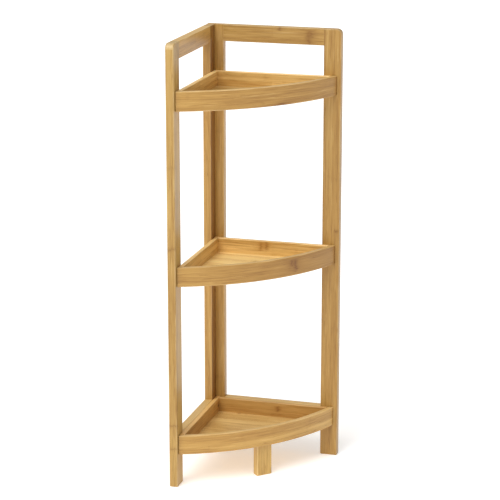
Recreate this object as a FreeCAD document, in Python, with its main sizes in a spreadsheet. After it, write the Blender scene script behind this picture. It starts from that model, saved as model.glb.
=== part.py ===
import FreeCAD, Part
import Sketcher
import math
import os

# A corner rack of bamboo: two side frames at a right angle, three quarter-round trays
# between them and a short leg under the lowest tray.
# +X runs along the right frame, -Y along the left frame, +Z is up.  The origin is on the
# floor, at the middle of the square that the frames stand in.

doc = FreeCAD.newDocument("corner_caddy")

# ---------------------------------------------------------------- driving dimensions (mm)
sheet = doc.addObject("Spreadsheet::Sheet", "sizes")

dimensions = [
    ("overall_height", 800, "floor to the top of the frames"),
    ("overall_side", 250, "outer length of each side of the plan"),
    ("stock_thickness", 15, "frame timber, through the frame"),
    ("stile_width", 32, "frame timber, in the plane of the frame"),
    ("rail_height", 30, "top and bottom rails of a frame"),
    ("bottom_rail_top", 95, "floor to the top of the bottom rails"),
    ("post_corner", 10, "rounding at the top front corner of a frame"),
    ("foot_corner", 2, "rounding at the corners of the feet"),
    ("edge_round", 1.5, "eased edges of the frames and the leg"),
    ("rebate_depth", 8, "how far the left frame is let into the right one"),
    ("tray_height", 35, "height of a tray's sides"),
    ("tray_pitch", 311, "from one tray to the next"),
    ("board_thickness", 8, "straight sides of a tray"),
    ("curve_thickness", 9, "bow-fronted rail of a tray"),
    ("curve_radius", 377, "outer face of the bow front"),
    ("curve_setback", 7, "bow front behind the posts' front edges"),
    ("rim_bevel", 1, "bevelled edges of a tray's bow front"),
    ("rim_round", 1.2, "eased edges of a tray's straight sides"),
    ("floor_thickness", 5, "floor panel of a tray"),
    ("floor_recess", 3, "floor panel above the tray's lower edge"),
    ("groove_depth", 3, "floor panel let into the sides"),
    ("leg_width", 30, "front leg, across"),
    ("leg_gap", 0.5, "front leg behind the bow front"),
    ("dowel_diameter", 6, "frame dowels"),
    ("dowel_length", 30, "frame dowels, half in each piece"),
    ("dowel_spacing", 15, "between the two dowels of a joint"),
    ("dowel_chamfer", 0.8, "ends of the dowels"),
    ("bore_spare", 1, "glue space beyond each end of a dowel"),
    ("screw_diameter", 3.5, "shank of every screw"),
    ("screw_head", 7, "across a countersunk head"),
    ("screw_short", 20, "length of the tray screws"),
    ("screw_long", 30, "length of the corner, leg and rear tray screws"),
    ("screw_tip", 4, "pointed end of a screw"),
    ("recess_length", 4, "arms of the cross recess in a head"),
    ("recess_width", 0.9, "across one arm of the recess"),
    ("recess_depth", 1.2, "how deep the recess goes"),
    ("tray_screw_rise", 20, "tray screws above the tray's lower edge"),
    ("tray_screw_rear", 12, "rear screw of the lowest tray from the back corner"),
    ("tray_screw_front", 209, "front tray screws from the back corner"),
    ("corner_screw_low", 45, "lowest corner screw above the floor"),
    ("corner_screw_pitch", 233, "from one corner screw to the next"),
    ("leg_screw_spacing", 14, "between the two leg screws"),
]

derived = [
    # the frames' inner faces meet at the back corner, this far from the middle each way
    ("corner_offset", "=overall_side / 2 - stock_thickness"),
    # clear length of each frame in front of the back corner
    ("inner_side", "=overall_side - stock_thickness"),
    # the left frame runs on into the rebate of the right one
    ("left_length", "=inner_side + rebate_depth"),
    ("bottom_rail_foot", "=bottom_rail_top - rail_height"),
    ("top_rail_foot", "=overall_height - rail_height"),
    # where the bow front meets the frames, and its centre behind the back corner
    ("curve_reach", "=inner_side - curve_setback"),
    ("curve_centre", "=(sqrt(2 * curve_radius ^ 2 - curve_reach ^ 2) - curve_reach) / 2"),
    ("curve_inner", "=curve_radius - curve_thickness"),
    ("floor_inset", "=board_thickness - groove_depth"),
    ("floor_radius", "=curve_inner + groove_depth"),
    ("lowest_tray", "=bottom_rail_top - tray_height"),
    ("leg_height", "=lowest_tray + floor_recess"),
    ("leg_front", "=curve_inner - curve_centre * sqrt(2) - leg_gap"),
    # the leg's front face, from its end nearer the right frame's plane to the farther one
    ("leg_near", "=(leg_front - leg_width / 2) / sqrt(2)"),
    ("leg_far", "=(leg_front + leg_width / 2) / sqrt(2)"),
    ("bore_length", "=dowel_length + 2 * bore_spare"),
    ("head_depth", "=(screw_head - screw_diameter) / 2"),
]

row = 1
for alias, amount, note in dimensions:
    sheet.set("A%d" % row, alias.replace("_", " "))
    sheet.set("B%d" % row, str(amount))
    sheet.set("C%d" % row, note)
    sheet.setAlias("B%d" % row, alias)
    row = row + 1
for alias, expression in derived:
    sheet.set("A%d" % row, alias.replace("_", " "))
    sheet.set("B%d" % row, expression)
    sheet.setAlias("B%d" % row, alias)
    row = row + 1
doc.recompute()


def formula(text):
    """Words on the sheet, such as 'inner_side - 2 * edge_round', as a FreeCAD expression."""
    words = []
    for word in text.replace("(", "( ").replace(")", " )").split():
        words.append("sizes." + word if word[0].isalpha() else word)
    return " ".join(words)


def value(text):
    return float(sheet.evalExpression(formula(text)))


# ---------------------------------------------------------------- helpers
quarter_turn = FreeCAD.Rotation(FreeCAD.Vector(0, 0, 1), -90)
no_turn = FreeCAD.Rotation()


def place(thing, x, y, z, rotation=no_turn):
    """Put an object at a point given by three formulas."""
    thing.Placement = FreeCAD.Placement(FreeCAD.Vector(value(x), value(y), value(z)), rotation)
    thing.setExpression("Placement.Base.x", formula(x))
    thing.setExpression("Placement.Base.y", formula(y))
    thing.setExpression("Placement.Base.z", formula(z))


def origin_plane(body, role):
    for feature in body.Origin.OriginFeatures:
        if feature.Role == role:
            return feature


def new_sketch(body, name, role):
    sketch = body.newObject("Sketcher::SketchObject", name)
    sketch.AttachmentSupport = [(origin_plane(body, role), "")]
    sketch.MapMode = "FlatFace"
    return sketch


def bind(sketch, constraint, text):
    """Add a constraint whose value is a formula on the sheet."""
    index = sketch.addConstraint(constraint)
    sketch.setExpression("Constraints[%d]" % index, formula(text))


def hold_upright(sketch, line, across):
    """Hold an upright line at a distance from the sketch's upright axis."""
    sketch.addConstraint(Sketcher.Constraint("Vertical", line))
    if across == "0":
        sketch.addConstraint(Sketcher.Constraint("PointOnObject", line, 1, -2))
    else:
        bind(sketch, Sketcher.Constraint("DistanceX", -1, 1, line, 1, value(across)), across)


def hold_level(sketch, line, up):
    """Hold a level line at a distance from the sketch's level axis."""
    sketch.addConstraint(Sketcher.Constraint("Horizontal", line))
    if up == "0":
        sketch.addConstraint(Sketcher.Constraint("PointOnObject", line, 1, -1))
    else:
        bind(sketch, Sketcher.Constraint("DistanceY", -1, 1, line, 1, value(up)), up)


def square_loop(sketch, corners):
    """A closed loop of level and upright lines; the corners are pairs of formulas."""
    points = []
    for across, up in corners:
        points.append(FreeCAD.Vector(value(across), value(up), 0))
    count = len(points)
    first = sketch.GeometryCount
    for i in range(count):
        sketch.addGeometry(Part.LineSegment(points[i], points[(i + 1) % count]), False)
    for i in range(count):
        following = first + (i + 1) % count
        sketch.addConstraint(Sketcher.Constraint("Coincident", first + i, 2, following, 1))
    for i in range(count):
        if corners[i][0] == corners[(i + 1) % count][0]:
            hold_upright(sketch, first + i, corners[i][0])
        else:
            hold_level(sketch, first + i, corners[i][1])


def arc_about_centre(sketch, radius, start, end):
    """An arc about the bow front's centre, which lies behind the back corner."""
    back = value("curve_centre")
    centre = FreeCAD.Vector(-back, -back, 0)
    angles = []
    for point in (start, end):
        angles.append(math.atan2(point[1] + back, point[0] + back))
    circle = Part.Circle(centre, FreeCAD.Vector(0, 0, 1), value(radius))
    arc = sketch.addGeometry(Part.ArcOfCircle(circle, angles[0], angles[1]), False)
    bind(sketch, Sketcher.Constraint("DistanceX", arc, 3, -1, 1, back), "curve_centre")
    bind(sketch, Sketcher.Constraint("DistanceY", arc, 3, -1, 1, back), "curve_centre")
    bind(sketch, Sketcher.Constraint("Radius", arc, value(radius)), radius)
    return arc


def curve_at(radius, across):
    """Where an arc about the bow's centre is, at a distance from either frame."""
    back = value("curve_centre")
    return math.sqrt(value(radius) ** 2 - (value(across) + back) ** 2) - back


def pad(body, sketch, name, length, backwards=False):
    feature = body.newObject("PartDesign::Pad", name)
    feature.Profile = sketch
    feature.setExpression("Length", formula(length))
    feature.Reversed = backwards
    sketch.Visibility = False
    doc.recompute()
    return feature


def dress(body, base, kind, name, chosen, amount):
    """Dress the edges of the base feature that chosen(edge) picks."""
    names = []
    for number, edge in enumerate(base.Shape.Edges, start=1):
        if chosen(edge):
            names.append("Edge%d" % number)
    feature = body.newObject("PartDesign::" + kind, name)
    feature.Base = (base, names)
    feature.setExpression("Radius" if kind == "Fillet" else "Size", formula(amount))
    doc.recompute()
    return feature


def fillet(body, base, name, chosen, radius):
    return dress(body, base, "Fillet", name, chosen, radius)


def chamfer(body, base, name, chosen, width):
    return dress(body, base, "Chamfer", name, chosen, width)


def ends(edge):
    points = []
    for vertex in edge.Vertexes:
        points.append(vertex.Point)
    return points


def same(first, second):
    return abs(first - second) < 1e-4


def cut(label, base, tool):
    result = doc.addObject("Part::Cut", label)
    result.Base = base
    result.Tool = tool
    return result


def gather(name, members):
    """Several shapes as one cutting tool."""
    result = doc.addObject("Part::Compound", name)
    result.Links = members
    return result


def copies(label, pattern, placements):
    """Copies of one pattern shape, each a solid of its own, as one object."""
    shapes = []
    for placement in placements:
        shape = pattern.Shape.copy()
        shape.Placement = placement.multiply(shape.Placement)
        shapes.append(shape)
    result = doc.addObject("Part::Feature", label)
    result.Shape = Part.makeCompound(shapes)
    return result


def vector(x, y, z):
    return FreeCAD.Vector(value(x), value(y), value(z))


def aim(point, direction):
    """A placement at a point that turns +Z to a direction."""
    return FreeCAD.Placement(point, FreeCAD.Rotation(FreeCAD.Vector(0, 0, 1), direction))


nodes = {}

# ---------------------------------------------------------------- patterns of the fasteners
# A dowel lies along +Z with its middle at the origin, and so does the bore it fills.


def make_dowel_pattern():
    peg = doc.addObject("Part::Cylinder", "dowel_peg")
    peg.setExpression("Radius", formula("dowel_diameter / 2"))
    peg.setExpression("Height", formula("dowel_length"))
    place(peg, "0", "0", "0 - dowel_length / 2")
    doc.recompute()
    rims = []
    for number, edge in enumerate(peg.Shape.Edges, start=1):
        if len(edge.Vertexes) == 1:
            rims.append((number, value("dowel_chamfer"), value("dowel_chamfer")))
    pattern = doc.addObject("Part::Chamfer", "dowel_pattern")
    pattern.Base = peg
    pattern.Edges = rims
    return pattern


def make_bore_pattern():
    bore = doc.addObject("Part::Cylinder", "bore_pattern")
    bore.setExpression("Radius", formula("dowel_diameter / 2"))
    bore.setExpression("Height", formula("bore_length"))
    place(bore, "0", "0", "0 - bore_length / 2")
    return bore


# A screw points along +Z, with the top of its countersunk head at the origin.


def make_screw_blank(name, length):
    head = doc.addObject("Part::Cone", name + "_head")
    head.setExpression("Radius1", formula("screw_head / 2"))
    head.setExpression("Radius2", formula("screw_diameter / 2"))
    head.setExpression("Height", formula("head_depth"))
    shank = doc.addObject("Part::Cylinder", name + "_shank")
    shank.setExpression("Radius", formula("screw_diameter / 2"))
    shank.setExpression("Height", formula(length + " - head_depth - screw_tip"))
    place(shank, "0", "0", "head_depth")
    tip = doc.addObject("Part::Cone", name + "_tip")
    tip.setExpression("Radius1", formula("screw_diameter / 2"))
    tip.setExpression("Radius2", formula("screw_diameter / 10"))
    tip.setExpression("Height", formula("screw_tip"))
    place(tip, "0", "0", length + " - screw_tip")
    blank = doc.addObject("Part::MultiFuse", name + "_blank")
    blank.Shapes = [head, shank, tip]
    blank.Refine = True
    return blank


def make_screw_pattern(name, blank):
    arms = []
    upright = ("recess_length", "recess_width")
    level = ("recess_width", "recess_length")
    for number, (length, width) in enumerate((upright, level), 1):
        arm = doc.addObject("Part::Box", "%s_recess_%d" % (name, number))
        arm.setExpression("Length", formula(length))
        arm.setExpression("Width", formula(width))
        arm.setExpression("Height", formula("recess_depth"))
        place(arm, "0 - %s / 2" % length, "0 - %s / 2" % width, "0")
        arms.append(arm)
    recess = doc.addObject("Part::MultiFuse", name + "_recess")
    recess.Shapes = arms
    return cut(name + "_pattern", blank, recess)


dowel_pattern = make_dowel_pattern()
bore_pattern = make_bore_pattern()
short_blank = make_screw_blank("short_screw", "screw_short")
short_pattern = make_screw_pattern("short_screw", short_blank)
long_blank = make_screw_blank("long_screw", "screw_long")
long_pattern = make_screw_pattern("long_screw", long_blank)
doc.recompute()

# ---------------------------------------------------------------- places of the fasteners
toward_left = FreeCAD.Vector(-1, 0, 0)
toward_back = FreeCAD.Vector(0, 1, 0)
toward_front = FreeCAD.Vector(0, -1, 0)
downward = FreeCAD.Vector(0, 0, -1)
tray_names = ["bottom", "middle", "top"]


def tray_foot(index):
    """The lower edge of a tray's sides, as a formula."""
    return "lowest_tray + %d * tray_pitch" % index


def tray_screw_places(index):
    """A screw through the front of each side, and in the lowest tray one at the rear of the left side."""
    height = tray_foot(index) + " + tray_screw_rise"
    found = []
    left_places = ["tray_screw_front"]
    if tray_names[index] == "bottom":
        left_places.append("tray_screw_rear")
    for along in left_places:
        left = vector("board_thickness - corner_offset", "corner_offset - " + along, height)
        found.append(aim(left, toward_left))
    right = vector("tray_screw_front - corner_offset", "corner_offset - board_thickness", height)
    found.append(aim(right, toward_back))
    return found


def rear_screw_places():
    """Screws from the back, through the right rear stile into the ends of the upper trays' left sides."""
    found = []
    for index in (1, 2):
        height = tray_foot(index) + " + tray_screw_rise"
        point = vector("board_thickness / 2 - corner_offset", "overall_side / 2", height)
        found.append(aim(point, toward_front))
    return found


def corner_screw_places():
    """Screws from the back, through the right rear stile into the left one."""
    found = []
    for number in range(4):
        height = "corner_screw_low + %d * corner_screw_pitch" % number
        point = vector("stock_thickness / 2 - overall_side / 2", "overall_side / 2", height)
        found.append(aim(point, toward_front))
    return found


def leg_screw_places():
    """Two screws down through the lowest tray's floor into the end of the leg."""
    found = []
    middle = value("leg_front - stock_thickness / 2") / math.sqrt(2)
    top = value("leg_height + floor_thickness")
    offset = value("corner_offset")
    for side in (-1, 1):
        slide = side * value("leg_screw_spacing / 2") / math.sqrt(2)
        point = FreeCAD.Vector(middle + slide - offset, offset - middle + slide, top)
        found.append(aim(point, downward))
    return found


corner_screw_tool = copies("corner_screw_holes", long_blank, corner_screw_places())
rear_screw_tool = copies("rear_screw_holes", long_blank, rear_screw_places())
leg_screw_tool = copies("leg_screw_holes", long_blank, leg_screw_places())
tray_screw_tools = []
for index, tray in enumerate(tray_names):
    tool = copies(tray + "_tray_screw_holes", short_blank, tray_screw_places(index))
    tray_screw_tools.append(tool)
    nodes[tray + "_tray_screws"] = copies(tray + "_tray_screws", short_pattern, tray_screw_places(index))
nodes["corner_screws"] = copies("corner_screws", long_pattern, corner_screw_places())
nodes["rear_tray_screws"] = copies("rear_tray_screws", long_pattern, rear_screw_places())
nodes["leg_screws"] = copies("leg_screws", long_pattern, leg_screw_places())

# ---------------------------------------------------------------- the two side frames
# Each frame is drawn in its own plane: along it from the rear edge, and up from the floor.
frames = {
    "right": {"length": "overall_side", "rotation": no_turn},
    "left": {"length": "left_length", "rotation": quarter_turn},
}


def frame_point(side, along, through):
    """A point of a frame in plan, as two formulas: along it, and through its thickness."""
    if side == "right":
        return "%s - overall_side / 2" % along, "corner_offset + %s" % through
    return "%s - overall_side / 2" % through, "corner_offset + rebate_depth - ( %s )" % along


def make_frame_blank(side):
    """The whole outline of a frame, glued up and rounded over as one."""
    length = frames[side]["length"]
    body = doc.addObject("PartDesign::Body", side + "_frame_blank")
    sketch = new_sketch(body, side + "_frame_outline", "XZ_Plane")
    inner_end = length + " - stile_width"
    square_loop(sketch, [
        ("0", "0"),
        ("stile_width", "0"),
        ("stile_width", "bottom_rail_foot"),
        (inner_end, "bottom_rail_foot"),
        (inner_end, "0"),
        (length, "0"),
        (length, "overall_height"),
        ("0", "overall_height"),
    ])
    square_loop(sketch, [
        ("stile_width", "bottom_rail_top"),
        (inner_end, "bottom_rail_top"),
        (inner_end, "top_rail_foot"),
        ("stile_width", "top_rail_foot"),
    ])
    solid = pad(body, sketch, side + "_frame_stock", "stock_thickness", backwards=True)

    front = value(length)
    top = value("overall_height")
    thickness = value("stock_thickness")

    def across_stock(edge):
        points = ends(edge)
        return len(points) == 2 and same(points[0].x, points[1].x) and same(points[0].z, points[1].z)

    def top_front(edge):
        return across_stock(edge) and same(ends(edge)[0].x, front) and same(ends(edge)[0].z, top)

    def foot(edge):
        return across_stock(edge) and same(ends(edge)[0].z, 0)

    def face_edge(edge):
        depths = {round(point.y, 3) for point in ends(edge)}
        on_face = depths == {0.0} or depths == {round(thickness, 3)}
        rear = all(same(point.x, 0) for point in ends(edge))
        return on_face and not (rear and side == "left")

    solid = fillet(body, solid, side + "_post_corner", top_front, "post_corner")
    solid = fillet(body, solid, side + "_foot_corners", foot, "foot_corner")
    fillet(body, solid, side + "_eased_edges", face_edge, "edge_round")
    x, y = frame_point(side, "0", "0")
    place(body, x, y, "0", frames[side]["rotation"])
    return body


def frame_piece(side, name, blank, start, length, foot, height, tools):
    """The part of a frame's blank in one stretch of it, with its bores and screw holes."""
    region = doc.addObject("Part::Box", "%s_%s_region" % (side, name))
    region.setExpression("Length", formula(length))
    region.setExpression("Width", formula("stock_thickness"))
    region.setExpression("Height", formula(height))
    x, y = frame_point(side, start, "0")
    place(region, x, y, foot, frames[side]["rotation"])
    piece = doc.addObject("Part::Common", "%s_%s_stock" % (side, name))
    piece.Base = blank
    piece.Tool = region
    label = "%s_%s" % (side, name)
    nodes[label] = cut(label, piece, gather(label + "_cuts", tools))


def dowel_places(side):
    """Two dowels at each end of each rail."""
    length = frames[side]["length"]
    direction = frames[side]["rotation"].multVec(FreeCAD.Vector(1, 0, 0))
    found = []
    for foot in ("bottom_rail_foot", "top_rail_foot"):
        for along in ("stile_width", length + " - stile_width"):
            for shift in ("- dowel_spacing / 2", "+ dowel_spacing / 2"):
                x, y = frame_point(side, along, "stock_thickness / 2")
                point = vector(x, y, "%s + rail_height / 2 %s" % (foot, shift))
                found.append(aim(point, direction))
    return found


def make_frame(side):
    blank = make_frame_blank(side)
    length = frames[side]["length"]
    bores = copies(side + "_frame_bores", bore_pattern, dowel_places(side))
    nodes[side + "_frame_dowels"] = copies(side + "_frame_dowels", dowel_pattern, dowel_places(side))
    stile_tools = [bores] + tray_screw_tools
    rear_tools = stile_tools + [corner_screw_tool, rear_screw_tool]
    if side == "right":
        rear_tools.append(make_rebate())
    between = length + " - 2 * stile_width"
    front = length + " - stile_width"
    frame_piece(side, "rear_stile", blank, "0", "stile_width", "0", "overall_height", rear_tools)
    frame_piece(side, "front_stile", blank, front, "stile_width", "0", "overall_height", stile_tools)
    for level in ("bottom", "top"):
        rail = level + "_rail"
        foot = rail + "_foot"
        frame_piece(side, rail, blank, "stile_width", between, foot, "rail_height", [bores])


def make_rebate():
    """The step in the right rear stile that the left frame stands in."""
    rebate = doc.addObject("Part::Box", "corner_rebate")
    rebate.setExpression("Length", formula("stock_thickness"))
    rebate.setExpression("Width", formula("rebate_depth"))
    rebate.setExpression("Height", formula("overall_height"))
    place(rebate, "0 - overall_side / 2", "corner_offset", "0")
    return rebate


# ---------------------------------------------------------------- the trays
# A tray is drawn from the back corner: first along the left frame, then along the right.


def place_in_corner(body, foot):
    place(body, "0 - corner_offset", "corner_offset", foot, quarter_turn)


def make_curved_rail(tray, foot):
    """The bow front, from the inner face of one frame to that of the other."""
    body = doc.addObject("PartDesign::Body", tray + "_curved_blank")
    sketch = new_sketch(body, tray + "_curved_outline", "XY_Plane")
    outer = curve_at("curve_radius", "0")
    inner = curve_at("curve_inner", "0")
    outer_arc = arc_about_centre(sketch, "curve_radius", (outer, 0), (0, outer))
    inner_arc = arc_about_centre(sketch, "curve_inner", (inner, 0), (0, inner))
    level = sketch.addGeometry(Part.LineSegment(FreeCAD.Vector(inner, 0), FreeCAD.Vector(outer, 0)))
    upright = sketch.addGeometry(Part.LineSegment(FreeCAD.Vector(0, inner), FreeCAD.Vector(0, outer)))
    for line, arc_end in ((level, 1), (upright, 2)):
        sketch.addConstraint(Sketcher.Constraint("Coincident", line, 1, inner_arc, arc_end))
        sketch.addConstraint(Sketcher.Constraint("Coincident", line, 2, outer_arc, arc_end))
    for axis, line in ((-1, level), (-2, upright)):
        sketch.addConstraint(Sketcher.Constraint("PointOnObject", line, 1, axis))
        sketch.addConstraint(Sketcher.Constraint("PointOnObject", line, 2, axis))
    solid = pad(body, sketch, tray + "_curved_stock", "tray_height")

    def long_edge(edge):
        return edge.Curve.TypeId == "Part::GeomCircle"

    chamfer(body, solid, tray + "_curved_rims", long_edge, "rim_bevel")
    place_in_corner(body, foot)
    return body


def make_side(tray, side, foot):
    """A straight side, from the back corner to the hollow of the bow front."""
    body = doc.addObject("PartDesign::Body", "%s_%s_blank" % (tray, side))
    sketch = new_sketch(body, "%s_%s_outline" % (tray, side), "XY_Plane")
    # the left side runs into the corner and the right side butts against it
    start = "0" if side == "left" else "board_thickness"
    begin = value(start)
    wide = value("board_thickness")
    near = curve_at("curve_inner", "0")
    far = curve_at("curve_inner", "board_thickness")
    corners = [(begin, wide), (begin, 0), (near, 0), (far, wide)]
    if side == "right":
        corners = [(y, x) for x, y in corners]
    points = [FreeCAD.Vector(x, y, 0) for x, y in corners]
    back = sketch.addGeometry(Part.LineSegment(points[0], points[1]))
    outside = sketch.addGeometry(Part.LineSegment(points[1], points[2]))
    inside = sketch.addGeometry(Part.LineSegment(points[3], points[0]))
    if side == "left":
        arc = arc_about_centre(sketch, "curve_inner", corners[2], corners[3])
        arc_near, arc_far = 1, 2
        hold_upright(sketch, back, start)
        hold_level(sketch, outside, "0")
        hold_level(sketch, inside, "board_thickness")
    else:
        arc = arc_about_centre(sketch, "curve_inner", corners[3], corners[2])
        arc_near, arc_far = 2, 1
        hold_level(sketch, back, start)
        hold_upright(sketch, outside, "0")
        hold_upright(sketch, inside, "board_thickness")
    sketch.addConstraint(Sketcher.Constraint("Coincident", back, 2, outside, 1))
    sketch.addConstraint(Sketcher.Constraint("Coincident", outside, 2, arc, arc_near))
    sketch.addConstraint(Sketcher.Constraint("Coincident", arc, arc_far, inside, 1))
    sketch.addConstraint(Sketcher.Constraint("Coincident", inside, 2, back, 1))
    solid = pad(body, sketch, "%s_%s_stock" % (tray, side), "tray_height")

    def long_edge(edge):
        points = ends(edge)
        straight = edge.Curve.TypeId == "Part::GeomLine"
        return straight and same(points[0].z, points[1].z) and edge.Length > 2 * wide

    fillet(body, solid, "%s_%s_rims" % (tray, side), long_edge, "rim_round")
    place_in_corner(body, foot)
    return body


def make_floor(tray, foot):
    """The floor panel, whose three edges stand in grooves of the sides."""
    body = doc.addObject("PartDesign::Body", tray + "_floor_blank")
    sketch = new_sketch(body, tray + "_floor_outline", "XY_Plane")
    inset = value("floor_inset")
    reach = curve_at("floor_radius", "floor_inset")
    corner = FreeCAD.Vector(inset, inset, 0)
    level = sketch.addGeometry(Part.LineSegment(corner, FreeCAD.Vector(reach, inset, 0)))
    upright = sketch.addGeometry(Part.LineSegment(FreeCAD.Vector(inset, reach, 0), corner))
    arc = arc_about_centre(sketch, "floor_radius", (reach, inset), (inset, reach))
    hold_level(sketch, level, "floor_inset")
    hold_upright(sketch, upright, "floor_inset")
    sketch.addConstraint(Sketcher.Constraint("Coincident", level, 2, arc, 1))
    sketch.addConstraint(Sketcher.Constraint("Coincident", arc, 2, upright, 1))
    sketch.addConstraint(Sketcher.Constraint("Coincident", upright, 2, level, 1))
    pad(body, sketch, tray + "_floor_panel", "floor_thickness")
    place_in_corner(body, foot + " + floor_recess")
    return body


def make_tray(index):
    tray = tray_names[index]
    foot = tray_foot(index)
    screws = tray_screw_tools[index]
    panel = make_floor(tray, foot)
    nodes[tray + "_tray_floor"] = panel
    if tray == "bottom":
        nodes[tray + "_tray_floor"] = cut("bottom_tray_floor", panel, leg_screw_tool)
    rail = make_curved_rail(tray, foot)
    nodes[tray + "_tray_curved_rail"] = cut(tray + "_tray_curved_rail", rail, panel)
    for side in ("left", "right"):
        board = make_side(tray, side, foot)
        tools = gather("%s_%s_side_cuts" % (tray, side), [panel, screws, rear_screw_tool])
        label = "%s_tray_%s_side" % (tray, side)
        nodes[label] = cut(label, board, tools)


# ---------------------------------------------------------------- the front leg


def make_leg():
    """A short leg across the corner's diagonal, just behind the lowest bow front."""
    body = doc.addObject("PartDesign::Body", "front_leg_blank")
    sketch = new_sketch(body, "front_leg_outline", "XY_Plane")
    square_loop(sketch, [
        ("0", "0"),
        ("leg_width", "0"),
        ("leg_width", "stock_thickness"),
        ("0", "stock_thickness"),
    ])
    solid = pad(body, sketch, "front_leg_stock", "leg_height")
    top = value("leg_height")

    def below_top(edge):
        return not all(same(point.z, top) for point in ends(edge))

    fillet(body, solid, "front_leg_edges", below_top, "edge_round")
    # its face looks along the diagonal; the sketch starts at the face's left edge
    turn = FreeCAD.Rotation(FreeCAD.Vector(0, 0, 1), 45)
    place(body, "leg_near - corner_offset", "corner_offset - leg_far", "0", turn)
    nodes["front_leg"] = cut("front_leg", body, leg_screw_tool)


make_frame("left")
make_frame("right")
for index in range(len(tray_names)):
    make_tray(index)
make_leg()
doc.recompute()

# ---------------------------------------------------------------- checks and export
faults = []
for thing in doc.Objects:
    if "Invalid" in thing.State or "Error" in thing.State:
        faults.append("%s: %s" % (thing.Name, thing.State))
for label, thing in nodes.items():
    thing.Label = label
    shape = thing.Shape
    if shape.isNull() or not shape.isValid() or not shape.Solids:
        faults.append("%s: bad shape" % label)
if faults:
    raise RuntimeError("; ".join(faults))

os.makedirs("parts", exist_ok=True)
for label, thing in sorted(nodes.items()):
    thing.Shape.exportStep("parts/%s.step" % label)
    box = thing.Shape.BoundBox
    print("%-24s %2d solids %9.0f mm3  x %7.1f %7.1f  y %7.1f %7.1f  z %6.1f %6.1f" % (
        label, len(thing.Shape.Solids), thing.Shape.Volume,
        box.XMin, box.XMax, box.YMin, box.YMax, box.ZMin, box.ZMax))
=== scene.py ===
import math

import bmesh
import bpy
from mathutils import Matrix, Vector


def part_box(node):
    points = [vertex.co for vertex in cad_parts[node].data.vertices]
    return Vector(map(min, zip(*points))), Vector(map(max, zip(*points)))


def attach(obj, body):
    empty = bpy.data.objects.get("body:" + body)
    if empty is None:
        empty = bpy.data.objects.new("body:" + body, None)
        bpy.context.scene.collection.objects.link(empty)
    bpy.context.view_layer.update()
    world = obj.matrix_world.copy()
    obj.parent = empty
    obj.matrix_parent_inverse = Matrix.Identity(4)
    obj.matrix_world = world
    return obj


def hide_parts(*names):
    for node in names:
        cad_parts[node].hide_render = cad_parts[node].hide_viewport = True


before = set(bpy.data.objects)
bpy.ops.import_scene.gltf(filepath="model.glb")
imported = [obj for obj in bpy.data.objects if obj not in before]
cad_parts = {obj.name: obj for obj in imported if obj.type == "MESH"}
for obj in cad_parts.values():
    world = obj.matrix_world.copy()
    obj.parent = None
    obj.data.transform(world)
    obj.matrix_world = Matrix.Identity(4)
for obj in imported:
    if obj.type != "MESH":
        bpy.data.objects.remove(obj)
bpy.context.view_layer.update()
print("frame loaded,", len(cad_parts), "nodes")

mm = 0.001
closeTo = 0.01 * mm  # places nearer than this are the same place
xAxis = Vector((1, 0, 0))
yAxis = Vector((0, 1, 0))
zAxis = Vector((0, 0, 1))


class Wire:
    # one output socket; sums on it add Math nodes
    def __init__(self, graph, socket):
        self.graph = graph
        self.socket = socket

    def maths(self, operation, first, second=0.0, clamp=False):
        settings = {"operation": operation, "use_clamp": clamp}
        return self.graph.add("Math", settings, {0: first, 1: second})

    def __add__(self, other):
        return self.maths("ADD", self, other)

    def __radd__(self, other):
        return self.maths("ADD", other, self)

    def __sub__(self, other):
        return self.maths("SUBTRACT", self, other)

    def __rsub__(self, other):
        return self.maths("SUBTRACT", other, self)

    def __mul__(self, other):
        return self.maths("MULTIPLY", self, other)

    def __rmul__(self, other):
        return self.maths("MULTIPLY", other, self)

    def __truediv__(self, other):
        return self.maths("DIVIDE", self, other)

    def __rtruediv__(self, other):
        return self.maths("DIVIDE", other, self)

    def __abs__(self):
        return self.maths("ABSOLUTE", self)

    def floor(self):
        return self.maths("FLOOR", self)

    def fract(self):
        return self.maths("FRACT", self)

    def clamp(self):
        return self.maths("ADD", self, 0.0, clamp=True)

    def atLeast(self, other):
        return self.maths("MAXIMUM", self, other)

    def ramp(self, low, high):
        # 0 at low, 1 at high, smooth between; high may be the lower one
        if high < low:
            return 1 - self.ramp(high, low)
        settings = {"interpolation_type": "SMOOTHSTEP"}
        return self.graph.add("MapRange", settings, {0: self, 1: low, 2: high})


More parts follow.
